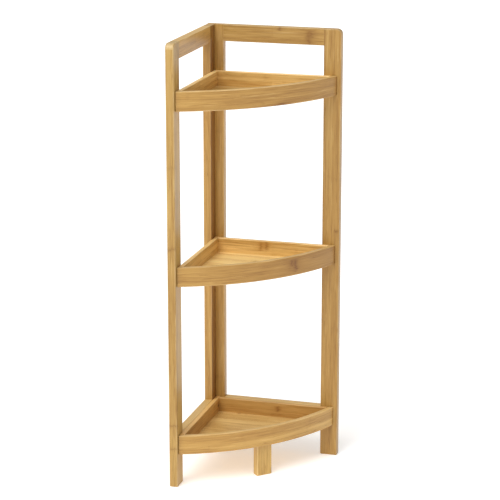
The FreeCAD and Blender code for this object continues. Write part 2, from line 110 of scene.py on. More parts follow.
class Graph:
    def __init__(self, name):
        self.material = bpy.data.materials.new(name)
        self.material.use_nodes = True
        self.tree = self.material.node_tree
        self.shader = self.tree.nodes["Principled BSDF"]

    def put(self, socket, given):
        if isinstance(given, Wire):
            self.tree.links.new(given.socket, socket)
        else:
            socket.default_value = given

    def add(self, kind, settings=None, inputs=None, output=0):
        node = self.tree.nodes.new("ShaderNode" + kind)
        for key, given in (settings or {}).items():
            if key == "stops":
                stops = node.color_ramp.elements
                while len(stops) < len(given):
                    stops.new(0.5)
                for stop, (position, color) in zip(stops, given):
                    stop.position = position
                    stop.color = color
            else:
                setattr(node, key, given)
        for key, given in (inputs or {}).items():
            self.put(node.inputs[key], given)
        return Wire(self, node.outputs[output])

    def shade(self, **inputs):
        for key, given in inputs.items():
            self.put(self.shader.inputs[key.replace("_", " ")], given)

    def attribute(self, name, output):
        return self.add("Attribute", {"attribute_name": name}, None, output)

    def times(self, vector, factors):
        return self.add("VectorMath", {"operation": "MULTIPLY"}, {0: vector, 1: factors})

    def noise(self, place, scales, detail=3.0, roughness=0.55, distortion=0.0):
        inputs = {"Vector": self.times(place, scales), "Scale": 1.0, "Detail": detail}
        inputs.update({"Roughness": roughness, "Distortion": distortion})
        return self.add("TexNoise", None, inputs, "Fac")

    def blend(self, factor, first, second):
        # sockets 6 and 7 are the colors of a Mix node, and output 2 is its color
        settings = {"data_type": "RGBA", "blend_type": "MIX", "clamp_factor": True}
        return self.add("Mix", settings, {0: factor, 6: first, 7: second}, 2)

    def bump(self, height, strength, distance, before=None):
        inputs = {"Height": height, "Strength": strength, "Distance": distance}
        if before is not None:
            inputs["Normal"] = before
        return self.add("Bump", None, inputs, "Normal")


# the studio: a pale floor that glows a little, soft lamps and the camera

stage = {
    "floorColor": (0.98, 0.98, 0.975, 1),
    "floorGlow": 0.32,
    "floorRoughness": 0.9,
    "floorShine": 0.2,
    "floorSize": 60.0,
    "lampPlace": (0, -1, 3),
    "worldColor": (1.0, 1.0, 1.0, 1),
    "worldStrength": 0.42,
    "view": "Standard",
}

lamps = {
    # degrees above level, degrees round from the front to the left, strength, degrees of spread
    "keyLamp": (45, 26, 1.10, 40),
    "fillLamp": (48, 6, 0.80, 46),
    "topLamp": (74, 0, 0.60, 50),
}

camera = {
    "place": (0.9391, -3.2677, 1.3269),
    "turn": 16.217,  # degrees from +Y towards -X
    "tilt": 14.991,  # degrees below level
    "lens": 142.38,
    "sensor": 36,
    "reach": 60,
}


def addObject(name, data):
    made = bpy.data.objects.new(name, data)
    bpy.context.collection.objects.link(made)
    return made


def makeFloor():
    bm = bmesh.new()
    bmesh.ops.create_grid(bm, x_segments=2, y_segments=2, size=stage["floorSize"] / 2)
    mesh = bpy.data.meshes.new("studioFloor")
    bm.to_mesh(mesh)
    bm.free()
    graph = Graph("studioFloorPaint")
    graph.shade(Base_Color=stage["floorColor"], Roughness=stage["floorRoughness"])
    graph.shade(Emission_Color=(1, 1, 1, 1), Emission_Strength=stage["floorGlow"])
    graph.shade(Specular_IOR_Level=stage["floorShine"])
    mesh.materials.append(graph.material)
    addObject("studioFloor", mesh)


def makeLight():
    world = bpy.data.worlds.new("studioWorld")
    world.use_nodes = True
    sky = world.node_tree.nodes["Background"]
    sky.inputs["Color"].default_value = stage["worldColor"]
    sky.inputs["Strength"].default_value = stage["worldStrength"]
    bpy.context.scene.world = world
    bpy.context.scene.view_settings.view_transform = stage["view"]
    for name, (height, leftward, strength, spread) in lamps.items():
        data = bpy.data.lights.new(name, "SUN")
        data.energy = strength
        data.angle = math.radians(spread)
        lamp = addObject(name, data)
        lamp.location = stage["lampPlace"]
        lamp.rotation_euler = (math.radians(90 - height), 0, math.radians(-leftward))


def makeCamera():
    data = bpy.data.cameras.new("camera")
    data.lens = camera["lens"]
    data.sensor_width = camera["sensor"]
    data.clip_end = camera["reach"]
    eye = addObject("camera", data)
    eye.location = camera["place"]
    eye.rotation_euler = (math.radians(90 - camera["tilt"]), 0, math.radians(camera["turn"]))
    bpy.context.scene.camera = eye


makeFloor()
makeLight()
makeCamera()
print("stage and camera set")

# Every bamboo piece carries "grain": metres along its fibres, across its face and through it.
# A piece's own length of cane starts somewhere else, so that no two pieces repeat.

caneLength = 1.731
caneShift = 0.217

bamboo = {
    "pale": (0.705, 0.455, 0.145, 1),
    "mid": (0.545, 0.315, 0.078, 1),
    "deep": (0.370, 0.182, 0.034, 1),
    "streak": (0.315, 0.145, 0.025, 1),
    "knuckle": (0.225, 0.088, 0.013, 1),
    "light": (0.760, 0.530, 0.220, 1),
    # painted top light: upward faces are lightened towards this colour
    "topFace": (0.800, 0.570, 0.240, 1),
    "endFace": (0.430, 0.275, 0.170, 1),
    "endFibre": (0.180, 0.085, 0.040, 1),
    "glueLine": (0.300, 0.150, 0.050, 1),
    # the eased edges are lightened towards this colour, partly for handling and partly as a painted
    # edge highlight
    "worn": (0.800, 0.570, 0.270, 1),
    "threadStrength": 0.72,
    "darkStreakStrength": 0.55,
    "lightStreakStrength": 0.35,
    "endStrength": 0.72,
    "roughness": 0.42,
    "coat": 0.16,
    "coatRoughness": 0.28,
    "fibrePitch": 1.1 * mm,
    "streakWidth": 3.6 * mm,
    "streakLength": 75 * mm,
    "stripBend": 2.4 * mm,
    "glueWidth": 0.35 * mm,
    "grainDepth": 0.22 * mm,
    "rippleDepth": 1.2 * mm,
}

bambooKinds = {
    "frame": {
        "stripWidth": 16 * mm, "ringPitch": 470 * mm, "streakDepth": 0.95, "broadDepth": 0.75,
        "stripDepth": 0.16, "fibreDepth": 0.48, "dashStrength": 0.46, "glueStrength": 0.28,
        "ringStrength": 0.16, "edgeWearAndHighlightStrength": 0.55, "paintedTopLightStrength": 0.45, "bumpStrength": 0.35,
    },
    "board": {
        "stripWidth": 19 * mm, "ringPitch": 610 * mm, "streakDepth": 0.90, "broadDepth": 0.75,
        "stripDepth": 0.30, "fibreDepth": 0.48, "dashStrength": 0.46, "glueStrength": 0.34,
        "ringStrength": 0.14, "edgeWearAndHighlightStrength": 0.80, "paintedTopLightStrength": 0.60, "bumpStrength": 0.35,
    },
    "panel": {
        "stripWidth": 23 * mm, "ringPitch": 530 * mm, "streakDepth": 0.80, "broadDepth": 0.50,
        "stripDepth": 0.14, "fibreDepth": 0.42, "dashStrength": 0.42, "glueStrength": 0.14,
        "ringStrength": 0.16, "edgeWearAndHighlightStrength": 0.20, "paintedTopLightStrength": 0.0, "bumpStrength": 0.30,
        "pale": (0.700, 0.490, 0.200, 1), "mid": (0.530, 0.345, 0.120, 1),
    },
}
bambooKinds["side"] = dict(
    bambooKinds["board"], pale=(0.680, 0.475, 0.185, 1), mid=(0.520, 0.330, 0.105, 1)
)


def caneWires(graph, look):
    # each pattern's three numbers are its repeats per metre along, across and through the cane
    grain = graph.attribute("grain", "Vector")
    fine = 1 / look["fibrePitch"]
    widen = 1 / look["streakWidth"]
    streakScale = (1 / look["streakLength"], widen, widen)
    return {
        "grain": grain,
        "along": graph.add("SeparateXYZ", None, {0: grain}, 0),
        "across": graph.add("SeparateXYZ", None, {0: grain}, 1),
        "streaks": graph.noise(grain, streakScale, 4.0, 0.62, 0.35),
        "broad": graph.noise(grain, (3.5, 75, 75), 2.0, 0.5, 0.3),
        "fibres": graph.noise(grain, (26, fine, fine), 2.0, 0.65),
        "vessels": graph.noise(grain, (95, fine * 0.9, fine * 0.9), 1.0, 0.5),
        "threads": graph.noise(grain, (7, widen * 1.6, widen * 1.6), 2.0, 0.5, 0.6),
        "wobble": graph.noise(grain, (0, 420, 420), 2.0) - 0.5,
        "breaks": graph.noise(grain, (120, 700, 700), 2.0).ramp(0.30, 0.62),
    }


def addStrips(graph, cane, look):
    # glued strips, each with its own tone and its own place along the cane
    bend = graph.noise(cane["grain"], (1.3, 20, 20), 1.0) * look["stripBend"]
    rank = (cane["across"] + bend) / look["stripWidth"]
    seed = graph.add("CombineXYZ", None, {0: rank.floor(), 1: (cane["along"] / caneLength).floor()})
    cane["stripTone"] = graph.add("TexWhiteNoise", {"noise_dimensions": "2D"}, {0: seed}, "Value")
    cane["glue"] = abs(rank.fract() - 0.5).ramp(0.5 - look["glueWidth"] / look["stripWidth"], 0.5)


def fibreColor(graph, cane, look):
    # long soft streaks, fibres, fine dark threads and short dark vessels
    streaks, broad, fibres = cane["streaks"], cane["broad"], cane["fibres"]
    level = (streaks - 0.5) * look["streakDepth"] + (broad - 0.5) * look["broadDepth"]
    level = level + (cane["stripTone"] - 0.5) * look["stripDepth"]
    level = level + (fibres - 0.5) * look["fibreDepth"]
    stops = [(0.0, look["deep"]), (0.5, look["mid"]), (1.0, look["pale"])]
    color = graph.add("ValToRGB", {"stops": stops}, {0: (level + 0.5).clamp()}, "Color")
    cane["dashes"] = cane["vessels"].ramp(0.60, 0.78) * fibres.ramp(0.62, 0.40)
    color = graph.blend(cane["dashes"] * look["dashStrength"], color, look["streak"])
    thread = abs(cane["threads"] - 0.5).ramp(0.038, 0.008) * broad.ramp(0.66, 0.46)
    color = graph.blend(thread * look["threadStrength"], color, look["streak"])
    darkStreak = streaks.ramp(0.38, 0.24) * broad.ramp(0.58, 0.38)
    color = graph.blend(darkStreak * look["darkStreakStrength"], color, look["streak"])
    lightStreak = streaks.ramp(0.60, 0.74)
    color = graph.blend(lightStreak * look["lightStreakStrength"], color, look["light"])
    return graph.blend(cane["glue"] * look["glueStrength"], color, look["glueLine"])


def addRings(graph, cane, look, color):
    # faint rings where the cane had its joints, one to a strip
    wavy = cane["along"] + cane["wobble"] * 10 * mm
    turns = (wavy / look["ringPitch"] + cane["stripTone"] * 7.0).fract()
    distance = abs(turns - 0.5) * look["ringPitch"]
    cane["relief"] = distance.ramp(5 * mm, 0.8 * mm) * cane["breaks"]
    color = graph.blend(cane["relief"] * look["ringStrength"], color, look["knuckle"])
    halo = distance.ramp(20 * mm, 3 * mm) * look["ringStrength"]
    return graph.blend(halo * 0.25, color, look["deep"])


def addKnucklesAndShade(graph, cane, look, color, marks):
    # the strong nodes of the cane, each an uneven cluster with forked ends; the same marks paint
    # the contact shade at the bow fronts' ends
    fork = graph.noise(cane["grain"], (30, 260, 260), 3.0, 0.6) - 0.5
    clump = graph.noise(cane["grain"], (170, 330, 330), 2.0, 0.6)
    for markAlong, markAcross, halfWidth, length, strength in marks:
        offset = abs(cane["across"] - markAcross) / halfWidth
        reach = (offset + fork * 0.9).ramp(1.25, 0.55)
        forked = cane["along"] - markAlong + fork * length * 3.2 + cane["wobble"] * 8 * mm
        away = abs(forked) / length
        core = away.ramp(0.85, 0.15) * reach * clump.ramp(0.28, 0.58)
        filling = away.ramp(2.2, 0.5) * reach
        halo = away.ramp(6.0, 1.0) * reach
        color = graph.blend(halo * strength * 0.40, color, look["deep"])
        color = graph.blend(filling * strength * 0.80, color, look["streak"])
        color = graph.blend(core * strength, color, look["knuckle"])
        cane["relief"] = cane["relief"].atLeast(core)
    return color


def addEndGrain(graph, cane, look, color):
    # cut ends show the fibres as dots
    grain = cane["grain"]
    dots = graph.noise(grain, (200, 1500, 1500), 2.0, 0.6).ramp(0.52, 0.66)
    endColor = graph.blend(dots * 0.7, look["endFace"], look["endFibre"])
    rough = graph.noise(grain, (60, 180, 180), 3.0)
    endColor = graph.blend(rough.ramp(0.35, 0.7) * 0.4, endColor, look["deep"])
    cutEnd = graph.attribute("cutEnd", "Fac")
    cane["end"] = (cutEnd + (rough - 0.5) * 0.15).ramp(0.55, 0.9)
    return graph.blend(cane["end"] * look["endStrength"], color, endColor)


def addWearAndPaintedLight(graph, cane, look, color):
    # handling and a painted edge highlight lighten the eased edges in patches, and a painted top
    # light lightens the upper faces
    patchy = graph.noise(cane["grain"], (14, 160, 160), 3.0, 0.6).ramp(0.38, 0.66)
    edgeWearAndHighlightMask = graph.attribute("eased", "Fac") * patchy
    color = graph.blend(edgeWearAndHighlightMask * look["edgeWearAndHighlightStrength"], color, look["worn"])
    paintedTopLightMask = graph.attribute("topFace", "Fac") * look["paintedTopLightStrength"]
    return graph.blend(paintedTopLightMask, color, look["topFace"])


def bambooMaterial(name, kind, marks):
    look = dict(bamboo, **bambooKinds[kind])
    graph = Graph(name)
    cane = caneWires(graph, look)
    addStrips(graph, cane, look)
    color = fibreColor(graph, cane, look)
    color = addRings(graph, cane, look, color)
    color = addKnucklesAndShade(graph, cane, look, color, marks)
    color = addEndGrain(graph, cane, look, color)
    color = addWearAndPaintedLight(graph, cane, look, color)
    color = graph.times(color, graph.attribute("tone", "Vector"))

    # a satin lacquer that lies unevenly over the fibres
    fibres, end = cane["fibres"], cane["end"]
    patches = graph.noise(cane["grain"], (9, 45, 45), 3.0) - 0.5
    roughness = look["roughness"] + patches * 0.16 + (fibres - 0.5) * 0.10 + end * 0.22
    raised = fibres * 0.5 + cane["streaks"] * 0.35 + cane["relief"] * 0.5
    height = raised - cane["dashes"] * 0.35 - cane["glue"] * 0.6
    normal = graph.bump(height, look["bumpStrength"], look["grainDepth"])
    ripple = graph.noise(cane["grain"], (22, 34, 34), 1.0)
    normal = graph.bump(ripple, 0.10, look["rippleDepth"], normal)
    coat = look["coat"] + patches * 0.10 - end * 0.12
    graph.shade(Base_Color=color, Roughness=roughness.clamp(), Normal=normal, Coat_Weight=coat)
    graph.shade(Coat_Roughness=look["coatRoughness"], IOR=1.5, Specular_IOR_Level=0.42)
    return graph.material


pieceTones = {
    # piece: (how light, how pale); over 1 in the second is less yellow
    # the order of the pieces also sets where each one's cane starts
    # these values are partly each piece's own colour and partly painted light and shade: the tray
    # sides and floors most of all are made lighter for the light that reaches into the trays
    "left_front_stile": (0.88, 1.10), "left_rear_stile": (0.88, 0.90),
    "left_top_rail": (1.05, 0.92), "left_bottom_rail": (1.10, 1.00),
    "right_front_stile": (0.78, 0.92), "right_rear_stile": (0.94, 0.96),
    "right_top_rail": (0.86, 1.00), "right_bottom_rail": (1.12, 1.00),
    "top_tray_floor": (1.05, 1.00), "top_tray_left_side": (1.55, 1.02),
    "top_tray_right_side": (1.34, 0.98), "top_tray_curved_rail": (0.95, 0.96),
    "middle_tray_floor": (1.22, 1.05), "middle_tray_left_side": (1.36, 0.95),
    "middle_tray_right_side": (1.36, 0.98), "middle_tray_curved_rail": (0.93, 0.94),
    "bottom_tray_floor": (1.34, 1.02), "bottom_tray_left_side": (1.22, 0.76),
    "bottom_tray_right_side": (0.94, 0.66), "bottom_tray_curved_rail": (0.99, 0.96),
    "front_leg": (1.10, 1.22),
}
# painted light and shade by the way a face looks: (where the face looks, how light, how pale); the
# left rear stile's inner face and the bow fronts' right ends take painted shade, and the middle
# tray's floor a painted top light and sheen
faceLightAndShade = {
    "left_rear_stile": (xAxis, 0.60, 0.56),
    "middle_tray_floor": (zAxis, 1.52, 1.30),
    "middle_tray_curved_rail": (xAxis, 0.75, 0.74),
    "top_tray_curved_rail": (xAxis, 0.90, 0.88),
}

knuckleAndShadeMarks = {
    # piece, millimetres along and across from its low end, half width, length, strength
    "frame": [
        ("right_top_rail", 104, 27, 4, 3.0, 0.60),
        ("right_top_rail", 158, 14, 12, 4.5, 0.55),
        ("right_top_rail", 164, 18, 7, 7.0, 0.45),
        ("right_front_stile", 432, 26, 5, 2.6, 0.55),
        ("left_front_stile", 440, 0, 5, 2.4, 0.45),
        ("left_front_stile", 116, 0, 6, 1.4, 0.36),
        ("left_front_stile", 72, 0, 6, 1.4, 0.32),
    ],
    "board": [
        ("middle_tray_curved_rail", 106, 18, 11, 4.2, 0.80),
        ("middle_tray_curved_rail", 114, 23, 7, 3.0, 0.62),
        ("top_tray_curved_rail", 140, 2, 3, 16.0, 0.85),
        # painted contact shade where the bow fronts meet the right frame
        ("top_tray_curved_rail", 0.4, 17.5, 24, 1.3, 0.90),
        ("middle_tray_curved_rail", 0.4, 17.5, 24, 1.3, 0.85),
        ("bottom_tray_curved_rail", 0.4, 17.5, 24, 1.3, 0.85),
    ],
    "side": [
        ("middle_tray_right_side", 82, 24, 9, 3.2, 0.58),
        ("middle_tray_right_side", 92, 26, 8, 3.4, 0.64),
        ("bottom_tray_right_side", 115, 23, 6, 4.0, 0.55),
    ],
    "panel": [
        ("middle_tray_floor", 87, 168, 6, 2.6, 0.40),
        ("bottom_tray_floor", 43, 210, 3, 2.2, 0.70),
    ],
}


def tint(light, paleness):
    return (light, light * paleness ** 0.4, light * paleness)


def caneStart(node):
    place = list(pieceTones).index(node)
    return Vector((caneLength * (place + 1), 0, caneShift * place))


def marksFor(kind, origins):
    found = []
    for node, along, across, halfWidth, length, strength in knuckleAndShadeMarks[kind]:
        start = caneStart(node) + origins[node]
        spot = (start.x + along * mm, start.y + across * mm)
        found.append(spot + (halfWidth * mm, length * mm, strength))
    return found


# shaping


def same(first, second):
    return abs(first - second) < closeTo


def middle(edge):
    return (edge.verts[0].co + edge.verts[1].co) / 2


def runsAlong(edge, axis):
    heading = (edge.verts[1].co - edge.verts[0].co).normalized()
    return abs(heading.dot(axis)) > 0.9


def block(low, high):
    # a square-edged length of stock from one corner to the other
    bm = bmesh.new()
    bmesh.ops.create_cube(bm, size=1)
    bmesh.ops.translate(bm, verts=bm.verts, vec=(0.5, 0.5, 0.5))
    bmesh.ops.scale(bm, verts=bm.verts, vec=high - low)
    bmesh.ops.translate(bm, verts=bm.verts, vec=low)
    return bm


def sectionFace(corners, place):
    bm = bmesh.new()
    bm.faces.new([bm.verts.new(place(through, up)) for through, up in corners])
    return bm


def extrude(bm, step):
    drawn = bmesh.ops.extrude_face_region(bm, geom=bm.faces[:], use_keep_orig=True)
    verts = [item for item in drawn["geom"] if isinstance(item, bmesh.types.BMVert)]
    bmesh.ops.translate(bm, verts=verts, vec=step)
    bmesh.ops.recalc_face_normals(bm, faces=bm.faces)


def easedLayer(bm):
    return bm.faces.layers.float.get("eased") or bm.faces.layers.float.new("eased")


def roundOver(bm, edges, radius, segments=3):
    layer = easedLayer(bm)
    done = bmesh.ops.bevel(
        bm, geom=edges, offset=radius, offset_type="OFFSET", segments=segments,
        profile=0.5, affect="EDGES", material=-1, clamp_overlap=True,
    )
    for face in done["faces"]:
        face[layer] = 1.0


def cutAcross(bm, point, normal, dropOuter=False):
    geometry = bm.verts[:] + bm.edges[:] + bm.faces[:]
    done = bmesh.ops.bisect_plane(
        bm, geom=geometry, dist=1e-6, plane_co=point, plane_no=normal, clear_outer=dropOuter
    )
    if dropOuter:
        rim = [item for item in done["geom_cut"] if isinstance(item, bmesh.types.BMEdge)]
        bmesh.ops.contextual_create(bm, geom=rim)


def creased(bm, axis):
    # edges where a face looking along the axis meets one that doesn't
    bm.normal_update()
    found = []
    for edge in bm.edges:
        if len(edge.link_faces) == 2:
            looks = sorted(abs(face.normal.dot(axis)) for face in edge.link_faces)
            if looks[0] < 0.2 and looks[1] > 0.98:
                found.append(edge)
    return found


# holes for the fasteners

fit = {
    "headRadius": 3.5 * mm,
    "shankRadius": 1.75 * mm,
    "dowelRadius": 3.0 * mm,
    "slack": 0.12 * mm,
    "sink": 0.3 * mm,  # how far a screw's hole opens past its head
    "spare": 0.8 * mm,  # glue space past a dowel's ends
    "near": 16 * mm,  # fasteners that start further from a piece miss it
    "steps": 28,
}

# which way each kind of screw points along an axis
# the last kind found in a node's name counts, so rear stands last
headings = {"tray": {0: -1, 1: 1}, "corner": {1: -1}, "leg": {2: -1}, "rear": {1: -1}}


def lumps(node):
    # the separate solids of a node, as low and high corners
    bm = bmesh.new()
    bm.from_mesh(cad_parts[node].data)
    bmesh.ops.remove_doubles(bm, verts=bm.verts, dist=1e-6)
    left = set(bm.verts)
    found = []
    for first in bm.verts:
        if first not in left:
            continue
        left.remove(first)
        queue = [first]
        group = []
        while queue:
            vert = queue.pop()
            group.append(vert.co.copy())
            for edge in vert.link_edges:
                other = edge.other_vert(vert)
                if other in left:
                    left.remove(other)
                    queue.append(other)
        low = Vector([min(co[i] for co in group) for i in range(3)])
        high = Vector([max(co[i] for co in group) for i in range(3)])
        found.append((low, high))
    bm.free()
    return found


def hole(profile, start, heading):
    # a profile of (radius, depth) pairs turned round the fastener's line
    bm = bmesh.new()
    verts = [bm.verts.new((radius, 0, depth)) for radius, depth in profile]
    edges = [bm.edges.new(pair) for pair in zip(verts, verts[1:])]
    bmesh.ops.spin(
        bm, geom=verts + edges, cent=(0, 0, 0), axis=zAxis, angle=2 * math.pi,
        steps=fit["steps"], use_merge=True,
    )
    bmesh.ops.remove_doubles(bm, verts=bm.verts, dist=1e-6)
    bmesh.ops.recalc_face_normals(bm, faces=bm.faces)
    turn = heading.to_track_quat("Z", "Y").to_matrix().to_4x4()
    bmesh.ops.transform(bm, verts=bm.verts, matrix=Matrix.Translation(start) @ turn)
    mesh = bpy.data.meshes.new("hole")
    bm.to_mesh(mesh)
    bm.free()
    return mesh


def longestAxis(low, high):
    size = high - low
    axis = max(range(3), key=lambda i: size[i])
    return axis, size[axis]


def screwHoles(node):
    kind = [key for key in headings if key in node][-1]
    head = fit["headRadius"] + fit["slack"]
    shank = fit["shankRadius"] + fit["slack"]
    sink = fit["sink"]
    found = []
    for low, high in lumps(node):
        axis, length = longestAxis(low, high)
        sign = headings[kind][axis]
        start = (low + high) / 2
        start[axis] = low[axis] if sign > 0 else high[axis]
        profile = [(0, -sink), (head + sink, -sink), (shank, head - shank)]
        profile += [(shank, length), (0, length + shank)]
        heading = Vector([sign if i == axis else 0 for i in range(3)])
        found.append((hole(profile, start, heading), start))
    return found


def dowelHoles(node):
    radius = fit["dowelRadius"] + fit["slack"]
    found = []
    for low, high in lumps(node):
        axis, length = longestAxis(low, high)
        start = (low + high) / 2
        start[axis] = low[axis] - fit["spare"]
        depth = length + 2 * fit["spare"]
        profile = [(0, 0), (radius, 0), (radius, depth), (0, depth)]
        found.append((hole(profile, start, (xAxis, yAxis, zAxis)[axis]), start))
    return found


fastenerHoles = {}
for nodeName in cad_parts:
    if nodeName.endswith("_dowels"):
        fastenerHoles[nodeName] = dowelHoles(nodeName)
    elif nodeName.endswith("_screws"):
        fastenerHoles[nodeName] = screwHoles(nodeName)
print("holes laid out:", sum(len(found) for found in fastenerHoles.values()))


def drill(piece, fasteners):
    low = Vector(piece.bound_box[0])
    high = Vector(piece.bound_box[6])
    near = fit["near"]
    cutters = []
    for node in fasteners:
        for mesh, start in fastenerHoles[node]:
            if all(low[i] - near < start[i] < high[i] + near for i in range(3)):
                cutters.append(addObject("cutter", mesh))
    if not cutters:
        return
    for cutter in cutters:
        step = piece.modifiers.new("hole", "BOOLEAN")
        step.operation = "DIFFERENCE"
        step.solver = "EXACT"
        step.object = cutter
    graph = bpy.context.evaluated_depsgraph_get()
    drilled = bpy.data.meshes.new_from_object(piece.evaluated_get(graph))
    piece.modifiers.clear()
    piece.data = drilled
    for cutter in cutters:
        bpy.data.objects.remove(cutter)


# a finished piece stands for its CAD node

finishing = {
    "faceStart": 0.4,  # how squarely a face must look along an axis to begin to take its tone
    "faceReach": 0.5,
    "paintedTopLightReach": 0.6,
    "sharpAngle": 38,
    "flatWeight": 90,
}
pieces = {}
grainOrigins = {}


def pieceName(node):
    first, *rest = node.split("_")
    return first + "".join(word.capitalize() for word in rest)


def writeAttribute(mesh, name, kind, domain, field, numbers):
    made = mesh.attributes.new(name, kind, domain)
    made.data.foreach_set(field, numbers)


def writeGrain(node, mesh, measure, alongAt):
    lowest = Vector([min(measure(vert.co)[i] for vert in mesh.vertices) for i in range(3)])
    grainOrigins[node] = lowest
    start = caneStart(node)
    grain = []
    for vert in mesh.vertices:
        grain.extend(Vector(measure(vert.co)) + start)
    light, paleness = pieceTones[node]
    axis, faceLight, facePaleness = faceLightAndShade.get(node, (zAxis, 1.0, 1.0))
    begin = finishing["faceStart"]
    tones, cutEnds, paintedTopLightShares = [], [], []
    for face in mesh.polygons:
        # painted light and shade: the more squarely a face looks along its piece's listed axis, the
        # more of the listed lightness and paleness it takes
        share = min(1.0, max(0.0, (face.normal.dot(axis) - begin) / finishing["faceReach"]))
        tones += tint(light * faceLight ** share, paleness * facePaleness ** share)
        cutEnds.append(abs(face.normal.dot(alongAt(face.center))))
        # painted top light: the more squarely a face looks up, the more it is lightened
        paintedTopLightShares.append(max(0.0, face.normal.z - begin) / finishing["paintedTopLightReach"])
    writeAttribute(mesh, "grain", "FLOAT_VECTOR", "POINT", "vector", grain)
    writeAttribute(mesh, "tone", "FLOAT_VECTOR", "FACE", "vector", tones)
    writeAttribute(mesh, "cutEnd", "FLOAT", "FACE", "value", cutEnds)
    writeAttribute(mesh, "topFace", "FLOAT", "FACE", "value", paintedTopLightShares)


def finishPiece(node, bm, kind, measure, alongAt, fasteners=()):
    # measure gives (along, across, through) of a point, alongAt the fibres' direction there
    bmesh.ops.remove_doubles(bm, verts=bm.verts, dist=1e-6)
    bmesh.ops.recalc_face_normals(bm, faces=bm.faces)
    easedLayer(bm)
    name = pieceName(node)
    mesh = bpy.data.meshes.new(name)
    bm.to_mesh(mesh)
    bm.free()
    piece = addObject(name, mesh)
    drill(piece, fasteners)
    piece.data.name = name
    writeGrain(node, piece.data, measure, alongAt)
    piece.data.shade_smooth()
    piece.data.set_sharp_from_angle(angle=math.radians(finishing["sharpAngle"]))
    finish = piece.modifiers.new("finish", "WEIGHTED_NORMAL")
    finish.keep_sharp = True
    finish.weight = finishing["flatWeight"]
    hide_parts(node)
    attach(piece, "root")
    pieces[node] = (piece, kind)


# the two frames

tiers = ("top", "middle", "bottom")
frames = {
    # the axis that a frame runs along, and which way along it the front is
    "right": {"run": 0, "front": 1},
    "left": {"run": 1, "front": -1},
}
stock = {
    "postCorner": 10 * mm,
    "postSteps": 10,
    "footCorner": 2 * mm,
    "ease": 1.5 * mm,
    "jointLine": 0.22 * mm,
    "seam": 0.7 * mm,
    "rebateEdge": 5 * mm,  # edges further from a rear stile's front than this are in the rebate
}


def stileFibres(run):
    return lambda co: (co.z, co[run], co[1 - run])


def railFibres(run):
    return lambda co: (co[run], co.z, co[1 - run])


def notchedPost(low, high):
    # the right rear stile has a rebate that the left frame stands in
    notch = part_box("left_rear_stile")
    corners = [
        (low.x, notch[1].y), (notch[1].x, notch[1].y), (notch[1].x, low.y),
        (high.x, low.y), (high.x, high.y), (low.x, high.y),
    ]
    bm = sectionFace(corners, lambda x, y: (x, y, low.z))
    extrude(bm, Vector((0, 0, high.z - low.z)))
    return bm


def makeStile(side, end):
    node = "%s_%s_stile" % (side, end)
    low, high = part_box(node)
    run = frames[side]["run"]
    outAxis = (xAxis, yAxis)[1 - run]
    toward = frames[side]["front"] * (1 if end == "front" else -1)
    outer = high[run] if toward > 0 else low[run]
    inner = low[run] if toward > 0 else high[run]
    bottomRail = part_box(side + "_bottom_rail")
    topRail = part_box(side + "_top_rail")
    notched = node == "right_rear_stile"
    bm = notchedPost(low, high) if notched else block(low, high)
    for level in (bottomRail[0].z, bottomRail[1].z, topRail[0].z):
        cutAcross(bm, (0, 0, level), zAxis)

    def atRail(edge):
        level = middle(edge).z
        beside = bottomRail[0].z < level < bottomRail[1].z or level > topRail[0].z
        return beside and same(middle(edge)[run], inner)

    def inCorner(edge):
        spot = middle(edge)
        if end == "front":
            return False
        if side == "left":
            return same(spot.y, outer)
        return spot.y < high.y - closeTo and spot.x < inner - stock["rebateEdge"]

    levelEdges = [e for e in bm.edges if runsAlong(e, outAxis)]
    feet = [e for e in levelEdges if same(middle(e).z, low.z)]
    if end == "front":
        topFront = [
            e for e in levelEdges if same(middle(e)[run], outer) and same(middle(e).z, high.z)
        ]
        roundOver(bm, topFront, stock["postCorner"], stock["postSteps"])
    roundOver(bm, feet, stock["footCorner"])
    eased = [e for e in creased(bm, outAxis) if not atRail(e) and not inCorner(e)]
    roundOver(bm, eased, stock["ease"])
    if notched:
        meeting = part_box("left_rear_stile")[1].x
        seam = [
            e for e in bm.edges
            if runsAlong(e, zAxis) and same(middle(e).y, low.y) and same(middle(e).x, meeting)
        ]
        roundOver(bm, seam, stock["seam"], 2)
    fasteners = [side + "_frame_dowels"] + [tier + "_tray_screws" for tier in tiers]
    if end == "rear":
        fasteners += ["corner_screws", "rear_tray_screws"]
    finishPiece(node, bm, "frame", stileFibres(run), lambda co: zAxis, fasteners)


def makeRail(side, level):
    node = "%s_%s_rail" % (side, level)
    run = frames[side]["run"]
    runAxis, outAxis = (xAxis, yAxis)[run], (xAxis, yAxis)[1 - run]
    bm = block(*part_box(node))
    ends = [e for e in bm.edges if not runsAlong(e, runAxis)]
    roundOver(bm, ends, stock["jointLine"], 1)
    long = [e for e in creased(bm, outAxis) if runsAlong(e, runAxis)]
    roundOver(bm, long, stock["ease"] - stock["jointLine"])
    finishPiece(
        node, bm, "frame", railFibres(run), lambda co: runAxis,
        [side + "_frame_dowels"],
    )


for frameSide in ("left", "right"):
    for stileEnd in ("front", "rear"):
        makeStile(frameSide, stileEnd)
    for railLevel in ("top", "bottom"):
        makeRail(frameSide, railLevel)
print("frames made")

# the trays

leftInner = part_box("left_front_stile")[1].x
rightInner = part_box("right_front_stile")[0].y
backCorner = Vector((leftInner, rightInner, 0))

